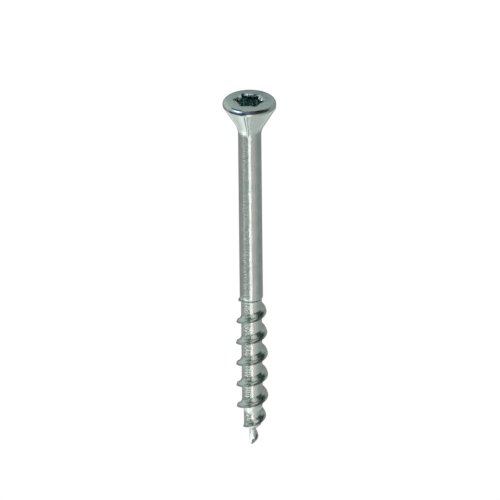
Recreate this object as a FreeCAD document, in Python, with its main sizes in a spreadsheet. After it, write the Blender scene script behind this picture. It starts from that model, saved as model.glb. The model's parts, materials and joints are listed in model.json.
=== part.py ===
import FreeCAD, Part
import math
import os

import Sketcher
from FreeCAD import Placement, Rotation, Vector

# Chipboard screw, 5 x 60 mm: one piece of zinc-plated steel, forged and thread-rolled.
#
# It is drawn upright. The flat middle of the head face lies on Z = 0, the axis is Z and the
# point hangs down to Z = -overall_length. Turns are counted from +X towards +Y.
# Last, the finished screw is laid on its side and set down on Z = 0 as it comes to rest, on
# the rim of its head and on its thread, with the head towards -X and the point towards +X.
#
# Lengths are millimetres, angles are degrees.

NODE = "screw"

# name, value, what it is
DIMENSIONS = [
    ("overall_length", 60.0, "head face to point"),
    ("head_diameter", 8.35, "across the rim, where the head is widest"),
    ("crown_diameter", 6.1, "flat middle of the head face"),
    ("crown_rise", 0.2, "how far that flat stands above the edge of the face"),
    ("rim_overhang", 0.35, "width of the rounded edge, from the face out to the rim"),
    ("rim_depth", 0.87, "head face down to the widest circle"),
    ("cone_angle", 62.0, "included angle of the countersink"),
    ("neck_radius", 3.0, "fillet between the countersink and the shank"),
    ("shank_diameter", 3.62, "plain shank"),
    ("shank_end", 34.28, "head face down to the end of the plain shank"),
    ("shank_bevel", 0.2, "length of the bevel at the end of the shank"),
    ("core_diameter", 3.26, "core between the threads"),
    ("core_end", 7.1, "end of the full core, above the point"),
    ("step_diameter", 2.72, "core of the tapered end"),
    ("step_top", 6.3, "start of that core, above the point"),
    ("step_foot", 3.7, "end of that core, above the point"),
    ("pin_diameter", 1.02, "pin that carries the point"),
    ("pin_top", 2.8, "start of the pin, above the point"),
    ("point_angle", 40.0, "slant of the cut that makes the point"),
    ("thread_diameter", 5.0, "over the crests"),
    ("thread_pitch", 3.67, "axial travel in one turn, right-hand"),
    ("thread_lead", 0.54, "start of the thread, inside the shank, above its end"),
    ("first_crest_diameter", 4.68, "over the crests of the first turn"),
    ("rise_turns", 0.9, "turns in which the thread comes out of the shank"),
    ("fill_turns", 2.3, "turns after which the crests are full"),
    ("crest_width", 0.32, "land along the crest"),
    ("upper_flank", 26.0, "slope of the flank that faces the head"),
    ("lower_flank", 18.0, "slope of the flank that faces the point"),
    ("root_slope", 58.0, "steeper slope where the upper flank runs out into the core"),
    ("root_share", 0.39, "share of the thread's height that this takes up"),
    ("taper_length", 6.2, "length over which the crests run down to the point"),
    ("taper_end_diameter", 0.74, "over the crests at the point"),
    ("taper_blend", 0.2, "how softly the taper starts"),
    ("rib_angle", 6.0, "width of a milling rib, as an angle about the axis"),
    ("rib_height", 0.2, "how far a rib stands out of the countersink"),
    ("rib_bend", 4.2, "head face down to where a rib leaves the slope of the cone"),
    ("rib_foot", 5.8, "head face down to where a rib runs into the shank"),
    ("rib_turn", -7.5, "turn of the first rib about the axis"),
    ("drive_width", 4.5, "six-lobe recess, across two lobes"),
    ("drive_waist", 3.24, "six-lobe recess, across two ridges"),
    ("drive_lobe", 0.38, "rounding of a lobe"),
    ("mouth_width", 5.1, "flared mouth of the recess, across two lobes"),
    ("mouth_dip", 0.42, "how far the ridges between those lobes reach in"),
    ("mouth_lobe", 0.3, "rounding of a lobe at the mouth"),
    ("mouth_depth", 0.3, "depth of the flare"),
    ("drive_depth", 2.6, "depth of the recess at its wall"),
    ("floor_diameter", 3.0, "conical floor of the recess"),
    ("floor_angle", 120.0, "included angle of that cone"),
    ("drive_turn", 25.0, "turn of the first lobe about the axis"),
]

LOBES = 6
RIBS = 4
STEPS_PER_QUARTER = 6  # points on each quarter turn of a thread edge
FLANK_ROOT = 0.3  # radius where the flanks end, out of sight inside the pin
LEAST_HEIGHT = 0.05  # height of the thread's ridge where the crest is not above the core
START_SINK = 0.2  # how deep under the surface of the shank the thread begins
RIB_SINK = 0.6  # how deep a rib reaches into the metal under it
PAST_POINT = 0.7  # extra pin and thread below the point, which the slanted cut takes off
CUTTER = 3.0  # half the size of the block that makes that cut


class Size:
    """A number worked out from the sheet, with the expression that says how."""

    def __init__(self, value, text):
        self.value, self.text = value, text

    def join(self, sign, other, value):
        return Size(value, f"({self.text} {sign} {other.text})")

    def __add__(self, other):
        other = as_size(other)
        return self.join("+", other, self.value + other.value)

    def __sub__(self, other):
        other = as_size(other)
        return self.join("-", other, self.value - other.value)

    def __mul__(self, other):
        other = as_size(other)
        return self.join("*", other, self.value * other.value)

    def __truediv__(self, other):
        other = as_size(other)
        return self.join("/", other, self.value / other.value)

    def __neg__(self):
        return as_size(0) - self


def as_size(number):
    return number if isinstance(number, Size) else Size(float(number), str(number))


def sin(angle):
    angle = as_size(angle)
    return Size(math.sin(math.radians(angle.value)), f"sin({angle.text} * 1 deg)")


def cos(angle):
    angle = as_size(angle)
    return Size(math.cos(math.radians(angle.value)), f"cos({angle.text} * 1 deg)")


def tan(angle):
    return sin(angle) / cos(angle)


class Sheet:
    """The spreadsheet of driving dimensions, one row each: name, value, meaning."""

    def __init__(self, doc):
        self.cells = doc.addObject("Spreadsheet::Sheet", "dims")
        for row, (name, value, meaning) in enumerate(DIMENSIONS, start=1):
            self.cells.set(f"A{row}", name)
            self.cells.set(f"B{row}", str(value))
            self.cells.set(f"C{row}", meaning)
            self.cells.setAlias(f"B{row}", name)
        doc.recompute()

    def __getattr__(self, name):
        return Size(float(self.cells.get(name)), f"dims.{name}")


def origin_feature(body, role):
    """One of a body's own origin planes or axes."""
    return next(f for f in body.Origin.OriginFeatures if f.Role == role)


def new_sketch(body, name, plane, drop=None, turn=None):
    """A sketch on an origin plane of its body; drop lowers it, turn spins it about Z."""
    sketch = body.newObject("Sketcher::SketchObject", name)
    sketch.AttachmentSupport = [(origin_feature(body, plane), "")]
    sketch.MapMode = "FlatFace"
    if turn:
        upward = Vector(0, 1, 0) if plane == "XZ_Plane" else Vector(0, 0, 1)
        sketch.AttachmentOffset = Placement(Vector(), Rotation(upward, turn.value))
        sketch.setExpression("AttachmentOffset.Rotation.Angle", turn.text)
    if drop:
        sketch.setExpression("AttachmentOffset.Base.z", (-drop).text)
    return sketch


def point(x, y):
    """The drawn place of a pair of sizes."""
    return Vector(as_size(x).value, as_size(y).value, 0)


def bind(sketch, size, *constraint):
    """Add a dimensional constraint that follows the sheet."""
    index = sketch.addConstraint(Sketcher.Constraint(*constraint, size.value))
    sketch.setExpression(f"Constraints[{index}]", size.text)


def hold(sketch, geometry, vertex, x, y):
    """Hold a vertex of the sketch at a pair of sizes."""
    bind(sketch, as_size(x), "DistanceX", -1, 1, geometry, vertex)
    bind(sketch, as_size(y), "DistanceY", -1, 1, geometry, vertex)


def add_line(sketch, start, end):
    return sketch.addGeometry(Part.LineSegment(start, end), False)


def add_arc(sketch, centre, radius, first, last):
    """Arc about a centre, counterclockwise from one angle to another, in degrees."""
    circle = Part.Circle(centre, Vector(0, 0, 1), radius)
    angles = math.radians(first), math.radians(last)
    return sketch.addGeometry(Part.ArcOfCircle(circle, *angles), False)


def add_polygon(sketch, corners):
    """Closed polygon whose corners are pairs of sizes."""
    points = [point(*corner) for corner in corners]
    edges = [add_line(sketch, a, b) for a, b in zip(points, points[1:] + points[:1])]
    for edge, following, corner in zip(edges, edges[1:] + edges[:1], corners):
        sketch.addConstraint(Sketcher.Constraint("Coincident", edge, 2, following, 1))
        hold(sketch, edge, 1, *corner)


def add_blank(body, dims):
    """Head, shank, core and pin, turned in one piece."""
    sketch = new_sketch(body, "blank_profile", "XZ_Plane")
    slope = dims.cone_angle / 2
    head, shank = dims.head_diameter / 2, dims.shank_diameter / 2
    overhang = dims.rim_overhang
    face = head - overhang

    # The rounded edge of the face is upright at the widest circle.
    drop = dims.rim_depth - dims.crown_rise
    edge_radius = (overhang * overhang + drop * drop) / (overhang * 2)
    rise = math.degrees(math.asin(drop.value / edge_radius.value))
    edge = add_arc(sketch, point(head - edge_radius, -dims.rim_depth), edge_radius.value, 0, rise)
    bind(sketch, edge_radius, "Radius", edge)
    hold(sketch, edge, 1, head, -dims.rim_depth)
    hold(sketch, edge, 2, face, -dims.crown_rise)

    # The neck is an arc that touches both the cone and the shank.
    corner_depth = dims.rim_depth + (head - shank) / tan(slope)
    reach = dims.neck_radius * tan(slope / 2)
    neck_top = shank + reach * sin(slope), -(corner_depth - reach * cos(slope))
    neck_foot = shank, -(corner_depth + reach)
    cone = add_line(sketch, point(head, -dims.rim_depth), point(*neck_top))
    centre = point(shank + dims.neck_radius, neck_foot[1])
    neck = add_arc(sketch, centre, dims.neck_radius.value, 180 - slope.value, 180)
    bind(sketch, dims.neck_radius, "Radius", neck)
    hold(sketch, neck, 1, *neck_top)
    hold(sketch, neck, 2, *neck_foot)
    sketch.addConstraint(Sketcher.Constraint("Coincident", cone, 1, edge, 1))
    sketch.addConstraint(Sketcher.Constraint("Coincident", cone, 2, neck, 1))

    core, step, pin = dims.core_diameter / 2, dims.step_diameter / 2, dims.pin_diameter / 2
    corners = [
        (shank, dims.shank_bevel - dims.shank_end),
        (core, -dims.shank_end),
        (core, dims.core_end - dims.overall_length),
        (step, dims.step_top - dims.overall_length),
        (step, dims.step_foot - dims.overall_length),
        (pin, dims.pin_top - dims.overall_length),
        (pin, -(dims.overall_length + PAST_POINT)),
        (0, -(dims.overall_length + PAST_POINT)),
        (0, 0),
        (dims.crown_diameter / 2, 0),
    ]
    points = [point(*neck_foot)] + [point(*corner) for corner in corners]
    points.append(point(face, -dims.crown_rise))
    lines = [add_line(sketch, a, b) for a, b in zip(points, points[1:])]
    sketch.addConstraint(Sketcher.Constraint("Coincident", lines[0], 1, neck, 2))
    for line, following, corner in zip(lines, lines[1:], corners):
        sketch.addConstraint(Sketcher.Constraint("Coincident", line, 2, following, 1))
        hold(sketch, following, 1, *corner)
    sketch.addConstraint(Sketcher.Constraint("Coincident", lines[-1], 2, edge, 2))

    blank = body.newObject("PartDesign::Revolution", "blank")
    blank.Profile = sketch
    blank.ReferenceAxis = (origin_feature(body, "Z_Axis"), [""])
    blank.Angle = 360


def add_ribs(body, dims):
    """Milling ribs down the countersink, from the rim to the neck."""
    sketch = new_sketch(body, "rib_profile", "XZ_Plane", turn=dims.rib_turn)
    slope = dims.cone_angle / 2
    head, shank = dims.head_diameter / 2, dims.shank_diameter / 2
    lift = dims.rib_height / cos(slope)
    bend = head + lift - (dims.rib_bend - dims.rim_depth) * tan(slope)
    add_polygon(sketch, [
        (head, -dims.rim_depth),
        (head, -(dims.rim_depth + lift / tan(slope))),
        (bend, -dims.rib_bend),
        (shank, -dims.rib_foot),
        (shank - RIB_SINK, -dims.rib_foot),
        (head - RIB_SINK, -dims.rim_depth),
    ])
    rib = body.newObject("PartDesign::Revolution", "rib")
    rib.Profile = sketch
    rib.ReferenceAxis = (origin_feature(body, "Z_Axis"), [""])
    rib.Midplane = True
    rib.setExpression("Angle", dims.rib_angle.text)

    ribs = body.newObject("PartDesign::PolarPattern", "ribs")
    ribs.Originals = [rib]
    ribs.Axis = (origin_feature(body, "Z_Axis"), [""])
    ribs.Angle = 360
    ribs.Occurrences = RIBS
    body.Tip = ribs


def add_star(body, name, dims, width, waist, lobe, drop=None):
    """Six-lobe outline: round lobes joined by round ridges that touch them."""
    sketch = new_sketch(body, name, "XY_Plane", drop=drop, turn=dims.drive_turn)
    half_step = 180 / LOBES
    ring, ridge_place = width / 2 - lobe, waist / 2
    across = ring * ridge_place * cos(half_step) * 2
    ridge = (ring * ring + ridge_place * ridge_place - across - lobe * lobe) / (
        (lobe + ring * cos(half_step) - ridge_place) * 2
    )

    def polar(radius, angle):
        turned = math.radians(angle)
        return Vector(radius * math.cos(turned), radius * math.sin(turned), 0)

    arcs = []
    for index in range(LOBES):
        angle = index * 2 * half_step
        lobe_centre = polar(ring.value, angle)
        ridge_centre = polar(ridge_place.value + ridge.value, angle + half_step)
        away = ridge_centre - lobe_centre
        swing = math.degrees(math.atan2(away.y, away.x)) - angle
        arcs.append(add_arc(sketch, lobe_centre, lobe.value, angle - swing, angle + swing))
        facing = angle + 180 + half_step
        spread = 180 + swing - facing + angle
        arcs.append(
            add_arc(sketch, ridge_centre, ridge.value, facing - spread, facing + spread)
        )
        bind(sketch, lobe, "Radius", arcs[-2])
        bind(sketch, ridge, "Radius", arcs[-1])
        hold(sketch, arcs[-2], 3, ring * cos(angle), ring * sin(angle))

    for index, (arc, following) in enumerate(zip(arcs, arcs[1:] + arcs[:1])):
        end = 1 if index % 2 else 2
        sketch.addConstraint(Sketcher.Constraint("Tangent", arc, end, following, end))
    return sketch


def add_recess(body, dims):
    """Six-lobe recess with a flared mouth and a conical floor."""
    waist = dims.mouth_width - dims.mouth_dip * 2
    mouth = add_star(body, "mouth", dims, dims.mouth_width, waist, dims.mouth_lobe)
    throat = add_star(
        body, "throat", dims, dims.drive_width, dims.drive_waist, dims.drive_lobe,
        drop=dims.mouth_depth,
    )
    flare = body.newObject("PartDesign::SubtractiveLoft", "flare")
    flare.Profile = mouth
    flare.Sections = [throat]
    flare.Ruled = True

    star = add_star(
        body, "socket_outline", dims, dims.drive_width, dims.drive_waist, dims.drive_lobe,
        drop=dims.mouth_depth,
    )
    socket = body.newObject("PartDesign::Pocket", "socket")
    socket.Profile = star
    socket.setExpression("Length", (dims.drive_depth - dims.mouth_depth).text)

    sketch = new_sketch(body, "floor_profile", "XZ_Plane")
    radius = dims.floor_diameter / 2
    add_polygon(sketch, [
        (0, -dims.drive_depth),
        (radius, -dims.drive_depth),
        (0, -(dims.drive_depth + radius / tan(dims.floor_angle / 2))),
    ])
    floor = body.newObject("PartDesign::Groove", "floor")
    floor.Profile = sketch
    floor.ReferenceAxis = (origin_feature(body, "Z_Axis"), [""])
    floor.Angle = 360


def crest_radius(dims, depth):
    """Radius of the thread's crest at a depth below the head face."""
    full, first = dims.thread_diameter.value / 2, dims.first_crest_diameter.value / 2
    start = dims.shank_end.value - dims.thread_lead.value
    turns = (depth - start) / dims.thread_pitch.value
    unfilled = 1 - min(1, turns / dims.fill_turns.value) ** 2
    rolled = full - (full - first) * unfilled

    # The first turn comes out of the shank, fast at first.
    hidden = dims.shank_diameter.value / 2 - START_SINK
    unrisen = (1 - min(1, turns / dims.rise_turns.value)) ** 3
    crest = rolled - (rolled - hidden) * unrisen

    # The last turns run down to the point.
    end = dims.taper_end_diameter.value / 2
    above_point = dims.overall_length.value - depth
    taper = end + (full - end) * above_point / dims.taper_length.value
    blend = math.hypot(crest - taper, dims.taper_blend.value)
    return max((crest + taper - blend) / 2, FLANK_ROOT + dims.crest_width.value / 2)


def core_radius(dims, depth):
    """Radius of the core at a depth below the head face."""
    above_point = dims.overall_length.value - depth
    slopes = [
        (dims.pin_top.value, dims.step_foot.value, dims.pin_diameter, dims.step_diameter),
        (dims.step_top.value, dims.core_end.value, dims.step_diameter, dims.core_diameter),
    ]
    radius = dims.pin_diameter.value / 2
    for low, high, thin, thick in slopes:
        share = max(0, min(1, (above_point - low) / (high - low)))
        radius += share * (thick - thin).value / 2
    return radius


def thread_section(dims, depth):
    """Corners of the thread's ridge where its crest has reached a depth."""
    start = dims.shank_end.value - dims.thread_lead.value
    turn = math.radians(360 * (start - depth) / dims.thread_pitch.value)
    crest, land = crest_radius(dims, depth), dims.crest_width.value / 2
    upper, lower, root = (
        math.tan(math.radians(angle.value))
        for angle in (dims.upper_flank, dims.lower_flank, dims.root_slope)
    )
    flank = (1 - dims.root_share.value) * max(crest - core_radius(dims, depth), LEAST_HEIGHT)
    bend = crest - flank, land + flank * upper
    corners = [
        (FLANK_ROOT, bend[1] + (bend[0] - FLANK_ROOT) * root),
        bend,
        (crest, land),
        (crest, -land),
        (FLANK_ROOT, -(land + (crest - FLANK_ROOT) * lower)),
    ]
    return [
        Vector(radius * math.cos(turn), radius * math.sin(turn), height - depth)
        for radius, height in corners
    ]


def make_thread(doc, dims):
    """Right-hand thread whose crest rises from the shank and runs down to the point.

    It is a ring of ruled faces on each quarter turn, closed by a flat face at each end.
    """
    start = dims.shank_end.value - dims.thread_lead.value
    end = dims.overall_length.value + PAST_POINT
    quarters = math.ceil(4 * (end - start) / dims.thread_pitch.value)
    steps = quarters * STEPS_PER_QUARTER
    sections = [
        thread_section(dims, start + (end - start) * step / steps) for step in range(steps + 1)
    ]
    faces = []
    for first in range(0, steps, STEPS_PER_QUARTER):
        stretch = sections[first:first + STEPS_PER_QUARTER + 1]
        edges = []
        for corner in range(len(stretch[0])):
            curve = Part.BSplineCurve()
            curve.interpolate([section[corner] for section in stretch])
            edges.append(curve.toShape())
        for edge, following in zip(edges, edges[1:] + edges[:1]):
            faces.append(Part.makeRuledSurface(edge, following))
    for section in (sections[0], sections[-1]):
        faces.append(Part.Face(Part.makePolygon(section + section[:1])))
    shell = Part.makeShell(faces)
    shell.sewShape()
    thread = doc.addObject("Part::Feature", "thread")
    thread.Shape = Part.makeSolid(shell)
    return thread


def make_point_cutter(doc, dims):
    """Block whose top face slants up through the screw from the foot of the pin."""
    block = doc.addObject("Part::Box", "point_cutter")
    for side in ("Length", "Width", "Height"):
        setattr(block, side, 2 * CUTTER)
    tilt = dims.point_angle
    pivot = -(dims.pin_diameter / 2), -dims.overall_length
    block.Placement = Placement(Vector(), Rotation(Vector(1, 0, 0), tilt.value))
    block.setExpression("Placement.Rotation.Angle", tilt.text)
    block.Placement.Base.x = -CUTTER
    back = sin(tilt) * (2 * CUTTER) - cos(tilt) * CUTTER
    down = -(cos(tilt) * (2 * CUTTER)) - sin(tilt) * CUTTER
    block.setExpression("Placement.Base.x", str(-CUTTER))
    block.setExpression("Placement.Base.y", (pivot[0] + back).text)
    block.setExpression("Placement.Base.z", (pivot[1] + down).text)
    return block


def resting_placement(shape):
    """Turn the upright screw onto its side and set it down, centred, on Z = 0.

    Seen from the side, it rests on the one edge of its lower outline that its centre of
    mass is above: from the rim of the head to a crest of the thread.
    """
    on_side = Rotation(Vector(0, 1, 0), -90)
    turned = [on_side.multVec(vertex) for vertex in shape.tessellate(0.02)[0]]
    middle = on_side.multVec(shape.Solids[0].CenterOfMass).x
    outline = []
    for x, z in sorted((round(v.x, 6), round(v.z, 6)) for v in turned):
        while len(outline) > 1:
            (x1, z1), (x2, z2) = outline[-2:]
            if (x2 - x1) * (z - z1) > (z2 - z1) * (x - x1):
                break
            outline.pop()
        outline.append((x, z))
    (x1, z1), (x2, z2) = next(
        (a, b) for a, b in zip(outline, outline[1:]) if a[0] <= middle < b[0]
    )
    tilt = Rotation(Vector(0, 1, 0), math.degrees(math.atan2(z2 - z1, x2 - x1)))
    rested = [tilt.multVec(vertex) for vertex in turned]
    xs, ys, zs = ([v[axis] for v in rested] for axis in range(3))
    floor = Vector(-(min(xs) + max(xs)) / 2, -(min(ys) + max(ys)) / 2, -min(zs))
    return Placement(floor, tilt.multiply(on_side))


def check(doc):
    """Stop before anything is written if any object failed."""
    for item in doc.Objects:
        if "Invalid" in item.State or "Error" in item.State:
            raise RuntimeError(f"{item.Name} failed: {item.State}")
        if item.isDerivedFrom("Sketcher::SketchObject") and not item.FullyConstrained:
            raise RuntimeError(f"{item.Name} is loose")


doc = FreeCAD.newDocument("chipboard_screw")
dims = Sheet(doc)

body = doc.addObject("PartDesign::Body", "forged_blank")
volumes = [0.0]
for add_feature in (add_blank, add_ribs, add_recess):
    add_feature(body, dims)
    doc.recompute()
    volumes.append(body.Shape.Volume)
if not (volumes[1] < volumes[2] and volumes[3] < volumes[2]):
    raise RuntimeError(f"a feature of the blank changed nothing: {volumes}")

threaded = doc.addObject("Part::Fuse", "threaded")
threaded.Base, threaded.Tool = body, make_thread(doc, dims)
screw = doc.addObject("Part::Cut", "pointed")
screw.Base, screw.Tool = threaded, make_point_cutter(doc, dims)
doc.recompute()
screw.Label = NODE
screw.Placement = resting_placement(screw.Shape)
doc.recompute()
check(doc)

shape = screw.Shape
if shape.isNull() or not shape.isValid() or len(shape.Solids) != 1:
    raise RuntimeError("the screw is not one valid solid")
if not volumes[3] < threaded.Shape.Volume:
    raise RuntimeError("the thread added nothing")
os.makedirs("parts", exist_ok=True)
shape.Solids[0].exportStep(f"parts/{NODE}.step")
places = {
    "head_face": Vector(0, (dims.mouth_width + dims.crown_diameter).value / 4, 0),
    "drive_recess": Vector(0, 0, 0),
    "countersink": Vector(0, 0, -dims.rim_depth.value),
    "thread": Vector(0, 0, -(dims.shank_end + dims.overall_length).value / 2),
}
print(f"{NODE}: {shape.Volume:.2f} mm3, threaded {threaded.Shape.Volume:.2f}, blank {volumes}")
print(f"tilt {math.degrees(screw.Placement.Rotation.Angle) - 270:.3f}, axis to the point",
      screw.Placement.Rotation.multVec(Vector(0, 0, -1)))
for name, place in places.items():
    print(name, screw.Placement.multVec(place))
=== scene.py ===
import json
import math

import bmesh
import bpy
import numpy as np
from mathutils import Matrix, Vector


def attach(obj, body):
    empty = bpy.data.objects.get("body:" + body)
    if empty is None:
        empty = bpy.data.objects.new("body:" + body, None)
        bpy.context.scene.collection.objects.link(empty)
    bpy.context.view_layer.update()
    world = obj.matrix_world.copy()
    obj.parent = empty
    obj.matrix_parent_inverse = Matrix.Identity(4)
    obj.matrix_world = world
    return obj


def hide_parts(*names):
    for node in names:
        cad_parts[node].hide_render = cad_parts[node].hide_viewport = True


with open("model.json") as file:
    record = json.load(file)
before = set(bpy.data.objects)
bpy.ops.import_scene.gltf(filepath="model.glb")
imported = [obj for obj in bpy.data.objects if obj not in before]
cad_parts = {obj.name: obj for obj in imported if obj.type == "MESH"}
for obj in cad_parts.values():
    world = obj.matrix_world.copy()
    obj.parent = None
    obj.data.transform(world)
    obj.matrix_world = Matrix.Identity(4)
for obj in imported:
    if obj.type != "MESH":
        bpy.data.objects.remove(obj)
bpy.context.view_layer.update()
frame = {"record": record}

# The screw is built upright, in millimetres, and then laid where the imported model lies:
# the head face is Z = 0, the point hangs down, and turns count from +X towards +Y.
# Depths count down from the head face.
MM = 0.001

OVERALL_LENGTH = 60.0
HEAD_RADIUS = 4.167  # a hair under the source's, so that the mesh stays in its box
FACE_DEPTH = 0.002
SWELL, SWELL_START, SWELL_POWER = 0.09, 2.62, 1.4  # how the face falls towards the rim
RIM_OVERHANG, RIM_DEPTH, RIM_BAND = 0.45, 0.87, 0.2
CONE_SLOPE = math.radians(31)
NECK_RADIUS = 3.0
SHANK_RADIUS = 1.81
SHANK_END = 34.28
SHANK_BEVEL = 0.2
CORE_RADIUS = 1.63
STEP_RADIUS = 1.36
CORE_END, STEP_TOP, STEP_FOOT, PIN_TOP = 7.1, 6.3, 3.7, 2.8  # above the point
PIN_RADIUS = 0.51
POINT_SLANT = math.radians(40)

# The pin is flattened on one side, more so towards the point.
FLAT_RADIUS, FLAT_TOP, FLAT_SLOPE, FLAT_TURN = 0.52, 2.6, 0.12, math.radians(-25)

THREAD_RADIUS = 2.5
PITCH = 3.67
THREAD_LEAD = 0.54
FIRST_CREST = 2.34
RISE_TURNS, FILL_TURNS = 0.9, 2.3
START_SINK, START_SLOPE = 0.2, 2.0  # how the crest starts under the shank, per turn
HALF_LAND, LAND_EASE = 0.16, 0.05
LEAST_RIDGE = 0.05
UPPER_FLANK, LOWER_FLANK, ROOT_SLOPE = (math.tan(math.radians(a)) for a in (26, 18, 58))
ROOT_SHARE = 0.39
TAPER_LENGTH, TAPER_END, TAPER_BLEND = 6.2, 0.37, 0.2
CREST_LEAN = math.tan(math.radians(16))
CREST_ROUND = 0.06
ROOT_ROUND = 0.07
LOWER_ROOT_ROUND = 0.4 * ROOT_ROUND
ROOT_LIFT = ROOT_ROUND / 8  # what the rounding would add to the core

RIBS, RIB_TURN, RIB_HEIGHT = 4, math.radians(-7.5), 0.2
RIB_BEND, RIB_FOOT = 4.2, 5.8
RIB_FLANKS = (-4.6, -1.6, 1.2, 3.8)  # degrees from the rib's middle: steep, then eased

LOBES, DRIVE_TURN = 6, math.radians(25)
DRIVE = (2.25, 1.62, 0.38)  # lobe tip, ridge, lobe rounding
MOUTH = (2.55, 2.13, 0.3)
MOUTH_DEPTH, DRIVE_DEPTH = 0.3, 2.6
MOUTH_ROUND = 0.07
FLOOR_RADIUS, FLOOR_SLOPE = 1.5, math.radians(30)
DEEPEST = -(DRIVE_DEPTH + FLOOR_RADIUS * math.tan(FLOOR_SLOPE))

# The mesh: columns all round, more of them in degrees from each rib, rows down a ridge.
COLUMNS = 150
RIB_COLUMNS = (-4.9, -4.5, -3.5, -2.4, -1.4, -0.6, 0.9, 1.7, 2.5, 3.3, 4.1)
LEAST_TURN = math.radians(0.25)
RIDGE_ROWS = (
    -1.2, -1.1, -1.0, -0.91, -0.82, -0.73, -0.64, -0.56, -0.48, -0.41, -0.34, -0.28,
    -0.22, -0.18, -0.15, -0.08, 0.0, 0.08, 0.15, 0.18, 0.22, 0.27, 0.32, 0.38, 0.45,
    0.54, 0.66,
)
VALLEY_ROWS = 7
WALL_RINGS, EDGE_RINGS, CONE_RINGS, NECK_RINGS, SHANK_RINGS = 7, 11, 18, 14, 48
SPARE_DEPTH = 1.5  # rows past the point, to be gathered on its cut
WELD_DISTANCE = 2e-7  # metres
SHARP_ANGLE = math.radians(38)

FULL_TURN = 2 * math.pi
RIB_STEP = FULL_TURN / RIBS
THREAD_START = SHANK_END - THREAD_LEAD


def place_on_frame():
    """Matrix from the upright screw, in millimetres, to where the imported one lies."""
    mount = next(m for m in frame["record"]["mounts"] if m["name"] == "drive_recess")
    up = Vector(mount["axis"]).normalized()
    side = Vector((0, 1, 0))
    front = side.cross(up)
    turn = Matrix((front, side, up)).transposed().to_4x4()
    return Matrix.Translation(mount["pos_m"]) @ turn @ Matrix.Scale(MM, 4)


LIE = place_on_frame()


def star_radius(turn, tip, ridge, lobe):
    """Radius of a six-lobe outline: round lobes joined by round ridges that touch them."""
    half = math.pi / LOBES
    ring = tip - lobe
    bulge = (ring**2 + ridge**2 - 2 * ring * ridge * math.cos(half) - lobe**2) / (
        2 * (lobe + ring * math.cos(half) - ridge)
    )
    away = np.abs((turn - DRIVE_TURN + half) % (2 * half) - half)
    centre = ridge + bulge
    touch = math.atan2(
        lobe * centre * math.sin(half) / (lobe + bulge),
        ring + lobe * (centre * math.cos(half) - ring) / (lobe + bulge),
    )
    on_lobe = ring * np.cos(away) + np.sqrt(
        np.maximum(lobe**2 - (ring * np.sin(away)) ** 2, 0)
    )
    off = half - away
    on_ridge = centre * np.cos(off) - np.sqrt(
        np.maximum(bulge**2 - (centre * np.sin(off)) ** 2, 0)
    )
    return np.where(away < touch, on_lobe, on_ridge)


def column_turns():
    """Turns of the mesh's columns, crowded together at the flanks of the ribs."""
    turns = list(np.linspace(-math.pi, math.pi, COLUMNS, endpoint=False))
    for index in range(RIBS):
        middle = RIB_TURN + index * FULL_TURN / RIBS
        turns += [middle + math.radians(shift) for shift in RIB_COLUMNS]
    turns = np.sort((np.array(turns) + math.pi) % FULL_TURN - math.pi)
    keep = np.append(True, np.diff(turns) > LEAST_TURN)
    return turns[keep]


def crest_radius(depth):
    """Radius of the crest: rising out of the shank, full, running down to the point."""
    turns = (depth - THREAD_START) / PITCH
    rolled = THREAD_RADIUS - (THREAD_RADIUS - FIRST_CREST) * (
        1 - np.clip(turns / FILL_TURNS, 0, 1) ** 2
    )
    hidden = SHANK_RADIUS - START_SINK
    crest = rolled - (rolled - hidden) * (1 - np.clip(turns / RISE_TURNS, 0, 1)) ** 3
    crest = np.where(turns < 0, hidden + START_SLOPE * turns, crest)
    taper = TAPER_END + (THREAD_RADIUS - TAPER_END) * (OVERALL_LENGTH - depth) / TAPER_LENGTH
    return (crest + taper - np.hypot(crest - taper, TAPER_BLEND)) / 2


def core_radius(depth):
    """Radius of the core under the thread."""
    knots = [
        (SHANK_END, CORE_RADIUS),
        (OVERALL_LENGTH - CORE_END, CORE_RADIUS),
        (OVERALL_LENGTH - STEP_TOP, STEP_RADIUS),
        (OVERALL_LENGTH - STEP_FOOT, STEP_RADIUS),
        (OVERALL_LENGTH - PIN_TOP, PIN_RADIUS),
        (OVERALL_LENGTH + 1, PIN_RADIUS),
    ]
    return np.interp(depth, *zip(*knots))


def threaded_radius(turn, depth):
    """Radius of the threaded end: core and thread, with rounded roots and crests."""
    phase = (depth - THREAD_START) / PITCH + turn / FULL_TURN
    best = np.full(np.shape(depth), 0.0)
    rounding = np.full(np.shape(depth), ROOT_ROUND)
    for shift in (-1, 0, 1):
        whole = np.round(phase) + shift
        crest_depth = THREAD_START + (whole - turn / FULL_TURN) * PITCH
        below = depth - crest_depth
        crest = crest_radius(crest_depth)
        ridge = np.maximum(crest - core_radius(crest_depth), LEAST_RIDGE)
        flank = (1 - ROOT_SHARE) * ridge
        off = -below - HALF_LAND - LAND_EASE
        upper = np.minimum(off / UPPER_FLANK, flank + (off - flank * UPPER_FLANK) / ROOT_SLOPE)
        lean = CREST_LEAN * (HALF_LAND - below)
        upper = (lean + upper + np.hypot(lean - upper, CREST_ROUND)) / 2
        drop = np.where(below > HALF_LAND, (below - HALF_LAND) / LOWER_FLANK, upper)
        rounding = np.where((crest - drop > best) & (below > 0), LOWER_ROOT_ROUND, rounding)
        best = np.maximum(best, crest - drop)
    core = core_radius(depth)
    flat = FLAT_RADIUS - FLAT_SLOPE * np.clip(depth - (OVERALL_LENGTH - FLAT_TOP), 0, 3)
    flat = flat / np.maximum(np.cos(turn - FLAT_TURN), 0.1)
    core = np.where(depth > OVERALL_LENGTH - PIN_TOP, np.minimum(core, flat), core)
    return (core + best + np.hypot(core - best, rounding)) / 2 - ROOT_LIFT


def slant_height(turn, radius):
    """Height of the slanted cut at the point."""
    return -OVERALL_LENGTH + math.tan(POINT_SLANT) * (radius * np.sin(turn) + PIN_RADIUS)


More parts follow.
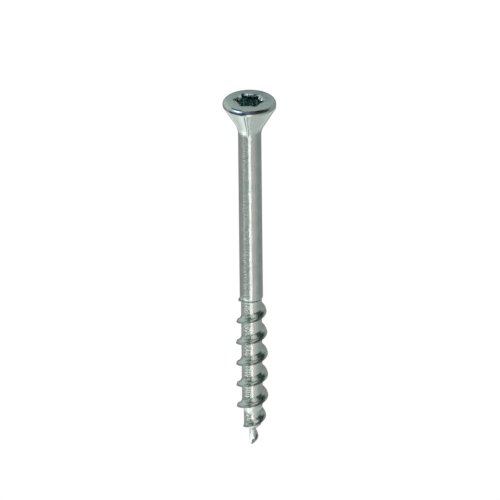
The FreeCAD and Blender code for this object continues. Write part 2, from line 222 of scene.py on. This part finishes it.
def band(value, *limits):
    """One between the two inner limits, falling to nothing at the outer ones."""
    return np.interp(value, limits, (0, 1, 1, 0))


def rise(value, start, width):
    """Nothing up to the start, and one from the width beyond it."""
    return np.clip((value - start) / width, 0, 1)


def rib_offset(turn, step=RIB_STEP):
    """Degrees from the middle of the nearest of the ribs that are a step apart."""
    return np.degrees((turn - RIB_TURN + step / 2) % step - step / 2)


def rib_rise(turn, depth):
    """How far the ribs lift the cone, sideways: steep on one side, eased on the other."""
    across = band(rib_offset(turn), *RIB_FLANKS)
    along = np.interp(depth, (RIM_DEPTH, RIB_BEND, RIB_FOOT), (1, 1, 0))
    return RIB_HEIGHT / math.cos(CONE_SLOPE) * across * along


def recess_rings(drive, mouth):
    """Radius and height of the recess's rings, from its conical floor up to the face."""
    for share in (0.25, 0.5, 0.75, 0.95):
        yield FLOOR_RADIUS * share, DEEPEST + (-DRIVE_DEPTH - DEEPEST) * share
    yield FLOOR_RADIUS * 1.03, -DRIVE_DEPTH + 0.01
    for inset, lift in ((0.1, 0.0), (0.03, 0.02), (0.0, 0.08)):
        yield drive - inset, lift - DRIVE_DEPTH
    for height in np.linspace(0.3, DRIVE_DEPTH - MOUTH_DEPTH - 0.1, WALL_RINGS):
        yield drive, height - DRIVE_DEPTH
    for share in (0.0, 0.15, 0.4, 0.65, 0.85):
        yield drive + (mouth - drive) * (0.04 + 0.96 * share), -MOUTH_DEPTH * (1 - share)
    for out, sink in ((0.0, 0.05), (0.025, 0.018), (MOUTH_ROUND, FACE_DEPTH)):
        yield mouth + out, -sink


def face_rings(mouth):
    """Rings of the face, which swells up towards the recess, and of the rim's edge."""
    face = HEAD_RADIUS - RIM_OVERHANG
    for share in (0.12, 0.25, 0.4, 0.55, 0.7, 0.82, 0.92, 0.98):
        radius = (mouth + MOUTH_ROUND) * (1 - share) + face * share
        swell = np.clip((radius - SWELL_START) / (face - SWELL_START), 0, 1)
        yield radius, -FACE_DEPTH - SWELL * swell**SWELL_POWER
    drop = RIM_DEPTH - RIM_BAND - SWELL
    edge_radius = (RIM_OVERHANG**2 + drop**2) / (2 * RIM_OVERHANG)
    start = math.asin(drop / edge_radius)
    for angle in np.linspace(start - 0.05, 0.0, EDGE_RINGS):
        yield (
            HEAD_RADIUS - edge_radius * (1 - math.cos(angle)),
            -RIM_DEPTH + RIM_BAND + edge_radius * math.sin(angle),
        )
    yield HEAD_RADIUS, -RIM_DEPTH + 0.4 * RIM_BAND


def cone_rings(turns):
    """Rings of the ribbed cone, the neck and the shank, down to the shank's bevel."""
    def lifted(radius, depth):
        return np.minimum(radius + rib_rise(turns, depth), HEAD_RADIUS), -depth

    yield lifted(HEAD_RADIUS - 0.02, RIM_DEPTH + 0.05)
    corner = RIM_DEPTH + (HEAD_RADIUS - SHANK_RADIUS) / math.tan(CONE_SLOPE)
    reach = NECK_RADIUS * math.tan(CONE_SLOPE / 2)
    neck_top = corner - reach * math.cos(CONE_SLOPE)
    for depth in np.linspace(RIM_DEPTH + 0.13, neck_top, CONE_RINGS):
        yield lifted(HEAD_RADIUS - (depth - RIM_DEPTH) * math.tan(CONE_SLOPE), depth)
    for angle in np.linspace(CONE_SLOPE, 0, NECK_RINGS)[1:]:
        depth = corner + reach - NECK_RADIUS * math.sin(angle)
        yield lifted(SHANK_RADIUS + NECK_RADIUS * (1 - math.cos(angle)), depth)
    neck_foot, bevel_top = corner + reach, SHANK_END - SHANK_BEVEL
    for depth in np.linspace(neck_foot + 0.15, bevel_top - 0.04, SHANK_RINGS):
        yield SHANK_RADIUS, -depth
    for inset, share in ((0.008, 1.0), (0.03, 0.85)):
        yield SHANK_RADIUS - inset, -(SHANK_END - SHANK_BEVEL * share)


def thread_rows():
    """Depths of the rows on one pitch, from the crest down: close on the ridge."""
    ridge = np.array(RIDGE_ROWS)
    valley = np.linspace(ridge[-1], ridge[0] + PITCH, VALLEY_ROWS + 2)[1:-1]
    return np.concatenate((ridge, valley))


def thread_grid(turns, rows):
    """Radius and depth of the rows that follow the thread, one pitch to a turn."""
    pitches = math.ceil((OVERALL_LENGTH + SPARE_DEPTH - SHANK_END) / PITCH) + 2
    starts = (np.arange(pitches) - 1) * PITCH
    phases = (THREAD_START + rows)[None, :] + starts[:, None]
    depth = phases.reshape(-1, 1) - turns / FULL_TURN * PITCH
    skip = int(np.argmax(depth[:, 0] > SHANK_END)) - 1
    depth = np.maximum(depth[skip:], SHANK_END)
    radius = threaded_radius(turns[None, :], depth)

    # Everything below the slanted cut is gathered on the outline of the cut.
    above = -depth - slant_height(turns[None, :], radius)
    for column in range(len(turns)):
        last = int(np.argmax(above[:, column] < 0))
        a, b = above[last - 1, column], above[last, column]
        share = a / (a - b)
        for table in (radius, depth):
            before, after = table[last - 1, column], table[last, column]
            table[last:, column] = before * (1 - share) + share * after
    return radius, depth


def build_screw():
    """One closed mesh: rings down to the shank's end, then rows that follow the thread."""
    turns = column_turns()
    count = len(turns)
    ones = np.ones_like(turns)
    drive, mouth = star_radius(turns, *DRIVE), star_radius(turns, *MOUTH)
    rings = [*recess_rings(drive, mouth), *face_rings(mouth), *cone_rings(turns)]
    points = [np.array([[0.0, 0.0, DEEPEST]])]
    for radius, height in rings:
        x, y = radius * np.cos(turns), radius * np.sin(turns)
        points.append(np.stack([x, y, height * ones], axis=1))
    rows = thread_rows()
    radius, depth = thread_grid(turns, rows)
    x, y = radius * np.cos(turns), radius * np.sin(turns)
    points.append(np.stack([x, y, -depth], axis=2).reshape(-1, 3))
    points.append(np.array([[0.0, 0.0, slant_height(0.0, 0.0)]]))
    points = np.concatenate(points)

    first, grid = 1, 1 + len(rings) * count
    tip = grid + (len(depth) - 1) * count
    afters = [*range(1, count), 0]
    faces = [(0, first + column, first + after) for column, after in enumerate(afters)]
    for here in range(first, grid, count):
        below = here + count
        for column, after in enumerate(afters):
            faces.append((here + column, below + column, below + after, here + after))
    # The rows climb, so the end of each one meets the start of the row one pitch before.
    for row in range(len(depth) - 1):
        here, below = grid + row * count, grid + (row + 1) * count
        for column in range(count - 1):
            faces.append((here + column, below + column, below + column + 1, here + column + 1))
        across = grid + max(row - len(rows), 0) * count
        across_below = grid + max(row + 1 - len(rows), 0) * count
        faces.append((here + count - 1, below + count - 1, across_below, across))
    for column, after in enumerate(afters):
        faces.append((tip + column, len(points) - 1, tip + after))
    return points, faces


def add_screw():
    """The screw as one piece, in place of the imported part's node."""
    points, faces = build_screw()
    mesh = bpy.data.meshes.new("screw_body")
    mesh.from_pydata([LIE @ Vector(point) for point in points], [], faces)
    work = bmesh.new()
    work.from_mesh(mesh)
    bmesh.ops.remove_doubles(work, verts=work.verts, dist=WELD_DISTANCE)
    bmesh.ops.recalc_face_normals(work, faces=work.faces)
    work.to_mesh(mesh)
    work.free()
    mesh.shade_smooth()
    mesh.set_sharp_from_angle(angle=SHARP_ANGLE)
    mark_surfaces(mesh)
    screw = bpy.data.objects.new("screw_body", mesh)
    bpy.context.scene.collection.objects.link(screw)
    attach(screw, "root")
    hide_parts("screw")
    return screw


# Where the material's marks lie. Pairs are a start and the width of a rise, and fours
# the limits of a band: in degrees from a rib's middle, or in millimetres of depth.
THREADED, DRAWN = (SHANK_END, 0.1), (5.0, 1.5)
ON_PIN = (OVERALL_LENGTH - PIN_TOP, 0.2)
ON_RIDGE, RIDGE_CALM = (0.08, 0.25), 0.8  # above the core
SUNKEN, SUNKEN_BOTTOM = (0.15, 0.4), DRIVE_DEPTH + 1
MOUTH_TOLERANCE = 0.02
FLARE_TOP = 0.01
# Painted shade in the crease at the steep side of each rib, and painted shadow under the
# shank's shoulder, where the material darkens the colour.
CREASE_TURNS = (-6.2, -4.6, -2.6, -1.6)
CREASE_DEPTHS = (RIM_DEPTH, 1.3, RIB_BEND, RIB_FOOT - 0.5)
CREASED_RIBS = 45  # only the ribs in front and at the back, not those at the sides
SHOULDER, SHOULDER_STRENGTH = (-0.17, -0.1, 0.02, 0.1), 0.8  # from the shank's end
LIP_LEFT, LIP_RIGHT, LIP_TURN = 0.4, 0.05, -1.2  # the lip's height on either side
# Navy bands on the rim: painted dark reflection under the rim's bright stripe and across its
# front, and painted shade along its top edge.
RIM_DARK_BANDS = (
    (1.0, (-44, -38, -9, -4), (0.45, 0.56, 0.85, 0.92)),
    (1.0, (-12, -8, 16, 52), (0.15, 0.22, 0.5, 0.58)),
    (0.7, (-44, -36, -12, -8), (0.07, 0.09, 0.16, 0.22)),
)
# Painted shade round the mouth of the recess: dark teal streaks, strongest towards the back of
# the face.
MOUTH_SHADE_REACH = (0.02, 0.05, 1.6)  # out from the mouth: none, most, none again
MOUTH_SHADE_DEPTH, MOUTH_SHADE_TURN, MOUTH_SHADE_LEAST = 0.1, 2.6, 0.3


def mark_surfaces(mesh):
    """Write the marks that the material reads, from 0 to 1 on each vertex."""
    upright = LIE.inverted()
    places = np.array([upright @ vertex.co for vertex in mesh.vertices])
    radius, depth = np.hypot(places[:, 0], places[:, 1]), -places[:, 2]
    turn = np.arctan2(places[:, 1], places[:, 0])
    mouth = star_radius(turn, *MOUTH)
    beside = rib_offset(turn, 2 * RIB_STEP)

    threaded = rise(depth, *THREADED)
    ridge = threaded * rise(radius - core_radius(depth), *ON_RIDGE)
    rolled = threaded * (1 - RIDGE_CALM * ridge) * (depth < OVERALL_LENGTH - PIN_TOP)
    inside = (depth < SUNKEN_BOTTOM) & (radius < mouth - MOUTH_TOLERANCE)
    flared = (depth < MOUTH_DEPTH + MOUTH_TOLERANCE) & (depth > FLARE_TOP)

    # Painted shade in the ribs' creases and painted shadow under the shank's shoulder.
    crease_shade = band(rib_offset(turn), *CREASE_TURNS) * band(depth, *CREASE_DEPTHS)
    crease_shade = crease_shade * (np.abs(beside) < CREASED_RIBS)
    lip = SHANK_RADIUS + np.where(turn < LIP_TURN, LIP_LEFT, LIP_RIGHT)
    shoulder = band(depth - SHANK_END, *SHOULDER) * (radius < lip)
    # Painted dark reflection and painted shade on the rim.
    rim_dark_bands = [
        strength * band(beside, *turns) * band(depth, *depths)
        for strength, turns, depths in RIM_DARK_BANDS
    ]
    # Painted shade just round the mouth, strongest towards the back of the face.
    mouth_shade = np.interp(radius - mouth, MOUTH_SHADE_REACH, (0, 1, 0)) * (depth < MOUTH_SHADE_DEPTH)
    behind = np.maximum(np.cos(turn - MOUTH_SHADE_TURN), 0) ** 2

    marks = {
        "drawn": rise(depth, *DRAWN) * (depth < SHANK_END),
        "pin": rise(depth, *ON_PIN),
        "rolled": rolled,
        "ridge": ridge,
        "sunken": np.where(inside, rise(depth, *SUNKEN), 0),
        "crease_shade": np.maximum(crease_shade, SHOULDER_STRENGTH * shoulder),
        "flared": flared * (radius < mouth + MOUTH_TOLERANCE),
        "painted_rim_dark": np.max(rim_dark_bands, axis=0),
        "mouth_shade": mouth_shade * (MOUTH_SHADE_LEAST + (1 - MOUTH_SHADE_LEAST) * behind),
    }
    for name, values in marks.items():
        layer = mesh.attributes.new(name, "FLOAT", "POINT")
        layer.data.foreach_set("value", np.asarray(values, dtype=np.float32))


class Nodes:
    """Short names for building a node tree."""

    def __init__(self, tree):
        self.tree = tree
        tree.nodes.clear()

    def add(self, kind, inputs=(), **settings):
        node = self.tree.nodes.new(kind)
        for name, value in settings.items():
            setattr(node, name, value)
        for name, value in dict(inputs).items():
            if isinstance(value, bpy.types.NodeSocket):
                self.tree.links.new(value, node.inputs[name])
            else:
                node.inputs[name].default_value = value
        return node

    def math(self, operation, *values):
        node = self.add("ShaderNodeMath", dict(enumerate(values)), operation=operation)
        return node.outputs[0]

    def times(self, value, *factors):
        for factor in factors:
            value = self.math("MULTIPLY", value, factor)
        return value

    def scaled(self, value, factor, plus):
        return self.math("MULTIPLY_ADD", value, factor, plus)

    def step(self, value, low, high):
        """Smooth step of the value, from 0 at low to 1 at high."""
        node = self.add(
            "ShaderNodeMapRange", {0: value, 1: low, 2: high}, interpolation_type="SMOOTHSTEP"
        )
        return node.outputs[0]

    def ramp(self, factor, *stops):
        """Straight colour ramp of (position, grey or colour) stops."""
        node = self.add("ShaderNodeValToRGB", {0: factor})
        ramp = node.color_ramp
        while len(ramp.elements) < len(stops):
            ramp.elements.new(0.5)
        for element, (position, colour) in zip(ramp.elements, stops):
            element.position = position
            if not isinstance(colour, tuple):
                colour = (colour,) * 3
            element.color = (*colour, 1)
        return node.outputs[0]

    def mix(self, factor, a, b, blend="MIX"):
        """Mix of two colours, each one a socket or red, green and blue."""
        a, b = ((*colour, 1) if isinstance(colour, tuple) else colour for colour in (a, b))
        node = self.add("ShaderNodeMix", {0: factor, 6: a, 7: b}, data_type="RGBA")
        node.blend_type = blend
        return node.outputs[2]


# Noises of the plating: scale and detail, and for the streaks how fine along each axis.
STREAKS = (1.0, 4.0, (400, 5000, 5000))
GRAIN, LUMPS = (4500.0, 3.0), (1900.0, 2.0)
# Noises with the ramp that each one goes through.
CLOUD, CLOUD_RAMP = (500.0, 3.0), ((0.35, 0.0), (0.65, 1.0))
PITS, PITS_RAMP = (5200.0, 2.0), ((0.27, 0.55), (0.36, 1.0))
# The streaks that break up the painted shade round the mouth.
SHADE_STREAKS, SHADE_STREAKS_RAMP = (900.0, 2.0), ((0.35, 0.25), (0.6, 1.0))
# Blotches of dark and near white: painted glints on the mouth's flare.
GLINTS, GLINTS_RAMP = (1700.0, 1.0), ((0.47, (0.16, 0.2, 0.19)), (0.56, (0.9, 0.93, 0.92)))
# Colours, with the strength of the mark where it is less than full.
ZINC = ((0.43, 0.475, 0.45), (0.49, 0.52, 0.50))
# Paler zinc on the thread, most in its valleys, to lift their highlight: painted highlight.
ROLLED_HIGHLIGHT_TINT = (0.5, (0.6, 0.64, 0.6))
# Paler zinc all round the pin, to brighten its highlight: painted highlight.
PIN_HIGHLIGHT_TINT = (0.3, (0.75, 0.77, 0.76))
# Greener and a little darker inside the recess: painted shade.
SUNKEN_SHADE_TINT = (1.0, (0.34, 0.47, 0.45))
# Near black of the painted shade in the creases and the painted shadow under the shoulder.
CREASE_SHADE_TINT = (0.9, (0.06, 0.07, 0.07))
# Dark teal of the painted shade round the mouth.
MOUTH_SHADE_TINT = (0.75, (0.2, 0.25, 0.25))
# Navy of the painted dark reflection and shade on the rim.
RIM_DARK_TINT = (1.0, (0.09, 0.11, 0.18))
ROUGHNESS, STREAK_ROUGHNESS, RIDGE_ROUGHNESS = 0.12, 0.16, 0.04
# Shares of the noises in the bumps, and the height of the bumps in metres.
DRAWN_LUMPS, FINE_STREAKS, ROLLED_LUMPS, ROLLED_GRAIN = 0.85, 0.6, 2.0, 2.2
FLARED_LUMPS, RIDGE_SMOOTH = 6.0, 0.6
BUMP_HEIGHT = 0.00002


def zinc_plate():
    """Bright zinc plate: faintly streaked and grained, rougher where it was rolled."""
    material = bpy.data.materials.new("zinc_plated_steel")
    material.use_nodes = True
    nodes = Nodes(material.node_tree)
    place = nodes.add("ShaderNodeTexCoord").outputs["Object"]

    def mark(name):
        return nodes.add("ShaderNodeAttribute", attribute_name=name).outputs["Fac"]

    def noise(scale, detail, stretch=None):
        where = place
        if stretch:
            where = nodes.add(
                "ShaderNodeMapping", {"Vector": place, "Scale": stretch}
            ).outputs[0]
        return nodes.add(
            "ShaderNodeTexNoise", {"Vector": where, "Scale": scale, "Detail": detail}
        ).outputs[0]

    def tinted(base, where, tint):
        strength, shade = tint
        return nodes.mix(nodes.times(where, strength), base, shade)

    rolled, ridge, flared = mark("rolled"), mark("ridge"), mark("flared")
    streaks, grain, lumps = noise(*STREAKS), noise(*GRAIN), noise(*LUMPS)
    colour = nodes.mix(nodes.ramp(noise(*CLOUD), *CLOUD_RAMP), *ZINC)
    pits = nodes.ramp(noise(*PITS), *PITS_RAMP)
    colour = nodes.mix(1.0, colour, pits, "MULTIPLY")
    # Painted highlight: the thread's valleys are paler.
    colour = tinted(colour, rolled, ROLLED_HIGHLIGHT_TINT)
    # Painted highlight: the pin is paler.
    colour = tinted(colour, mark("pin"), PIN_HIGHLIGHT_TINT)
    # Painted shade inside the recess.
    colour = tinted(colour, mark("sunken"), SUNKEN_SHADE_TINT)
    # Painted shade in the creases and painted shadow under the shoulder.
    colour = tinted(colour, mark("crease_shade"), CREASE_SHADE_TINT)
    # Painted shade round the mouth, broken up by streaks.
    shade_streaks = nodes.ramp(noise(*SHADE_STREAKS), *SHADE_STREAKS_RAMP)
    colour = tinted(colour, nodes.times(mark("mouth_shade"), shade_streaks), MOUTH_SHADE_TINT)
    # On the mouth's flare the colour is painted glints among dark blotches.
    colour = nodes.mix(flared, colour, nodes.ramp(noise(*GLINTS), *GLINTS_RAMP))
    # Painted dark reflection and painted shade on the rim.
    colour = tinted(colour, mark("painted_rim_dark"), RIM_DARK_TINT)

    roughness = nodes.scaled(streaks, STREAK_ROUGHNESS, ROUGHNESS)
    roughness = nodes.scaled(ridge, RIDGE_ROUGHNESS, roughness)

    drawn = nodes.times(mark("drawn"), DRAWN_LUMPS)
    fine = nodes.scaled(streaks, FINE_STREAKS, nodes.scaled(drawn, lumps, grain))
    rough = nodes.scaled(lumps, ROLLED_LUMPS, nodes.times(grain, ROLLED_GRAIN))
    height = nodes.scaled(nodes.math("SUBTRACT", rough, fine), rolled, fine)
    height = nodes.times(height, nodes.scaled(ridge, -RIDGE_SMOOTH, 1.0))
    height = nodes.scaled(nodes.times(flared, FLARED_LUMPS), lumps, height)
    bump = nodes.add(
        "ShaderNodeBump", {"Height": height, "Strength": 1.0, "Distance": BUMP_HEIGHT}
    ).outputs[0]
    shader = nodes.add(
        "ShaderNodeBsdfPrincipled",
        {"Base Color": colour, "Metallic": 1.0, "Roughness": roughness, "Normal": bump},
    )
    nodes.add("ShaderNodeOutputMaterial", {"Surface": shader.outputs[0]})
    return material


FLOOR_HALF, FLOOR_GREY, FLOOR_GLOW = 3.0, 0.12, 0.95


def add_floor():
    """A large white table top that glows enough of itself to hide the screw's shadow."""
    mesh = bpy.data.meshes.new("floor")
    corners = [(-1, -1), (1, -1), (1, 1), (-1, 1)]
    mesh.from_pydata(
        [(FLOOR_HALF * x, FLOOR_HALF * y, 0) for x, y in corners], [], [(0, 1, 2, 3)]
    )
    floor = bpy.data.objects.new("floor", mesh)
    bpy.context.scene.collection.objects.link(floor)
    material = bpy.data.materials.new("white_table")
    material.use_nodes = True
    nodes = Nodes(material.node_tree)
    matt = nodes.add("ShaderNodeBsdfDiffuse", {"Color": (*[FLOOR_GREY] * 3, 1)})
    glow = nodes.add("ShaderNodeEmission", {"Color": (1, 1, 1, 1), "Strength": FLOOR_GLOW})
    both = nodes.add("ShaderNodeAddShader", {0: matt.outputs[0], 1: glow.outputs[0]})
    nodes.add("ShaderNodeOutputMaterial", {"Surface": both.outputs[0]})
    mesh.materials.append(material)
    floor.visible_glossy = False


# The studio's light, grey or coloured. Across the screw it goes by the degrees from
# straight up, towards +Y. The strip is added to it.
ACROSS = (
    (-180, 0.3), (-125, 0.42), (-88, 0.44), (-60, (0.46, 0.49, 0.46)),
    (-24, (0.44, 0.48, 0.44)), (-15, 0.5), (-12, 1.0), (7, 1.0),
    (13, (0.84, 0.72, 0.66)), (30, (0.88, 0.83, 0.8)), (55, (0.62, 0.66, 0.65)),
    (85, (0.4, 0.46, 0.46)), (125, 0.44), (180, 0.3),
)
STRIP = ((-14, 0.0), (-11, 1.5), (5, 1.5), (11, 0.0))
# Beyond the head it goes by height and by width, and beyond the point by width: 0 is
# straight down or straight to -Y, and 1 straight up or to +Y.
HEAD_BY_HEIGHT = (
    (0.0, (0.2, 0.28, 0.27)), (0.03, (0.35, 0.44, 0.43)), (0.055, (0.54, 0.63, 0.61)),
    (0.25, (0.66, 0.75, 0.71)), (0.45, (0.66, 0.75, 0.72)), (0.52, (0.2, 0.25, 0.24)),
    (0.6, (0.06, 0.08, 0.08)), (1.0, (0.06, 0.07, 0.09)),
)
HEAD_BY_WIDTH = (
    (0.0, 1.22), (0.36, 1.22), (0.46, 1.05), (0.54, 0.95), (0.62, 0.95), (0.75, 0.75),
)
POINT_BY_WIDTH = (
    (0.0, 0.6), (0.2, 0.9), (0.4, 0.95), (0.44, 1.1), (0.47, 1.1), (0.49, 0.56),
    (0.64, 0.52), (0.8, 0.46), (1.0, 0.6),
)
POINT_TINT = (1.6, 1.7, 1.66)
# A pale card beyond the head, towards -Y: steps along, aside and above that bound it.
CARD_COLOUR = (0.66, 0.72, 0.7)
CARD_SIDE, CARD_NEAR = (-0.5, -0.62), (0.14, 0.06)
CARD_FAR, CARD_FOOT = (-0.4, -0.32), (0.0, 0.1)
# How far along the light beyond the head reaches, how much less towards +Y, and steps.
HEAD_REACH, HEAD_LESS = 0.36, -0.25
HEAD_SIDE, HEAD_ABOVE, HEAD_EDGE = (-0.05, 0.3), (-0.2, 0.1), (-0.05, 0.05)
# Where the light beyond the point starts: it leans, and starts sooner low down at +Y.
POINT_EDGE, POINT_LEAN, POINT_SOONER = (0.55, 0.66), -0.08, 0.09
POINT_BELOW, POINT_SIDE = (-0.3, -0.6), (-0.03, 0.08)
# Soft bright and dark areas over all this: direction, inner and outer degrees, colour.
PATCHES = (
    ((-0.38, -0.15, 0.91), 13, 18, (1.2, 1.25, 1.1)),
    ((-0.62, 0.66, 0.35), 30, 40, (0.06, 0.09, 0.08)),
    ((-0.45, 0.25, 0.86), 8, 18, (0.8, 0.84, 0.8)),
    ((-0.95, 0.26, -0.03), 17, 21, (0.005, 0.015, 0.01)),
    ((0.17, -0.07, 0.98), 6, 11, (1.6, 1.7, 1.6)),
    ((-0.8, -0.1, 0.5), 12, 20, (1.2, 1.25, 1.08)),
    ((-0.88, -0.38, -0.25), 9, 15, (0.08, 0.13, 0.12)),
    ((-0.88, -0.46, -0.1), 9, 13, (0.02, 0.04, 0.03)),
    ((0.75, -0.42, -0.5), 10, 25, (1.0, 1.05, 1.02)),
    ((0.7, -0.65, 0.24), 10, 18, (2.1, 2.15, 2.1)),
    ((-0.43, -0.26, -0.87), 4, 14, (0.76, 0.83, 0.8)),
    ((-0.43, 0.26, -0.87), 4, 14, (0.55, 0.72, 0.7)),
)


def add_studio():
    """The light round the screw, as a bright body in a studio reflects it.

    Across the screw the light is a soft strip overhead between grey walls. Beyond the
    head it is bright below and dark above, and beyond the point bright towards -Y.
    """
    world = bpy.data.worlds.new("studio")
    bpy.context.scene.world = world
    world.use_nodes = True
    nodes = Nodes(world.node_tree)
    way = nodes.add("ShaderNodeTexCoord").outputs["Generated"]
    along, side, above = nodes.add("ShaderNodeSeparateXYZ", {0: way}).outputs
    lean = nodes.math("ARCTAN2", side, above)
    lean = nodes.scaled(lean, 1 / FULL_TURN, 0.5)
    height, width = nodes.scaled(above, 0.5, 0.5), nodes.scaled(side, 0.5, 0.5)

    def by_lean(stops):
        return nodes.ramp(lean, *((0.5 + degrees / 360, light) for degrees, light in stops))

    across = nodes.mix(1.0, by_lean(ACROSS), by_lean(STRIP), "ADD")
    head = nodes.mix(
        1.0, nodes.ramp(height, *HEAD_BY_HEIGHT), nodes.ramp(width, *HEAD_BY_WIDTH), "MULTIPLY"
    )
    card = nodes.times(
        nodes.step(side, *CARD_SIDE), nodes.step(along, *CARD_NEAR),
        nodes.step(along, *CARD_FAR), nodes.step(above, *CARD_FOOT),
    )
    head = nodes.mix(card, head, CARD_COLOUR)
    point = nodes.mix(1.0, nodes.ramp(width, *POINT_BY_WIDTH), POINT_TINT, "MULTIPLY")

    reach = nodes.scaled(nodes.step(side, *HEAD_SIDE), HEAD_LESS, HEAD_REACH)
    reach = nodes.times(nodes.step(above, *HEAD_ABOVE), reach)
    past_head = nodes.step(nodes.math("SUBTRACT", along, reach), *HEAD_EDGE)
    light = nodes.mix(past_head, head, across)
    low = nodes.times(nodes.step(above, *POINT_BELOW), nodes.step(side, *POINT_SIDE))
    tipward = nodes.scaled(low, POINT_SOONER, nodes.scaled(side, POINT_LEAN, along))
    light = nodes.mix(nodes.step(tipward, *POINT_EDGE), light, point)
    for toward, inner, outer, colour in PATCHES:
        near = nodes.add(
            "ShaderNodeVectorMath", {0: way, 1: Vector(toward).normalized()},
            operation="DOT_PRODUCT",
        ).outputs["Value"]
        edges = (math.cos(math.radians(angle)) for angle in (outer, inner))
        light = nodes.mix(nodes.step(near, *edges), light, colour)
    glow = nodes.add("ShaderNodeBackground", {"Color": light, "Strength": 1.0})
    nodes.add("ShaderNodeOutputWorld", {"Surface": glow.outputs[0]})


# The lamp makes the bright stripe on the rim of the head. It is near and narrow, so that
# the thread hardly sees it. Sizes and distance are in millimetres.
LAMP_TOWARD, LAMP_DISTANCE = (-0.72, -0.62, 0.3), 25.0
LAMP_LENGTH, LAMP_WIDTH, LAMP_SPREAD = 22.0, 23.0, math.radians(50)
LAMP_ALONG = (0.41, -0.63, -0.66)  # the way the stripe runs
LAMP_POWER, LAMP_COLOUR = 0.55 * 2.0, (0.7, 0.9, 1.0)  # for each square metre


def add_lamp():
    """A small lamp by the head, aimed at it."""
    data = bpy.data.lights.new("lamp_0", "AREA")
    data.shape = "RECTANGLE"
    data.size, data.size_y = LAMP_LENGTH * MM, LAMP_WIDTH * MM
    data.energy = LAMP_POWER * data.size * data.size_y
    data.color = LAMP_COLOUR
    data.spread = LAMP_SPREAD
    back = Vector(LAMP_TOWARD).normalized()
    along = back.cross(Vector(LAMP_ALONG).cross(back)).normalized()
    axes = Matrix([along, back.cross(along), back]).transposed()
    place = LIE.translation + back * LAMP_DISTANCE * MM
    lamp = bpy.data.objects.new("lamp_0", data)
    lamp.matrix_world = Matrix.Translation(place) @ axes.to_4x4()
    lamp.visible_camera = False
    bpy.context.scene.collection.objects.link(lamp)


ELEVATION, ROLL = math.radians(26.7), math.radians(0.6)
CAMERA_DISTANCE = 3000.0
CLIP_START, CLIP_END = 0.1, 20  # metres
FRAME_PIXELS, PIXELS_PER_MM, HEAD_PIXEL = 500, 6.46, (249.3, 99.85)


def add_camera():
    """Long lens above the head's side, looking down on the screw."""
    back = Vector((math.cos(ELEVATION), 0, math.sin(ELEVATION)))
    up = Vector((-math.sin(ELEVATION), 0, math.cos(ELEVATION)))
    right = Vector((0, 1, 0))
    right, up = (
        right * math.cos(ROLL) - up * math.sin(ROLL),
        up * math.cos(ROLL) + right * math.sin(ROLL),
    )
    across, down = ((FRAME_PIXELS / 2 - pixel) / PIXELS_PER_MM for pixel in HEAD_PIXEL)
    target = right * across - up * down
    turn = LIE.to_3x3().normalized()
    data = bpy.data.cameras.new("camera")
    data.lens = data.sensor_width * CAMERA_DISTANCE / (FRAME_PIXELS / PIXELS_PER_MM)
    data.clip_start, data.clip_end = CLIP_START, CLIP_END
    camera = bpy.data.objects.new("camera", data)
    axes = Matrix([turn @ right, turn @ up, turn @ back]).transposed()
    place = LIE @ (target + back * CAMERA_DISTANCE)
    camera.matrix_world = Matrix.Translation(place) @ axes.to_4x4()
    bpy.context.scene.collection.objects.link(camera)
    bpy.context.scene.camera = camera


screw = add_screw()
screw.data.materials.append(zinc_plate())
add_floor()
add_studio()
add_lamp()
add_camera()
bpy.context.scene.view_settings.view_transform = "Standard"
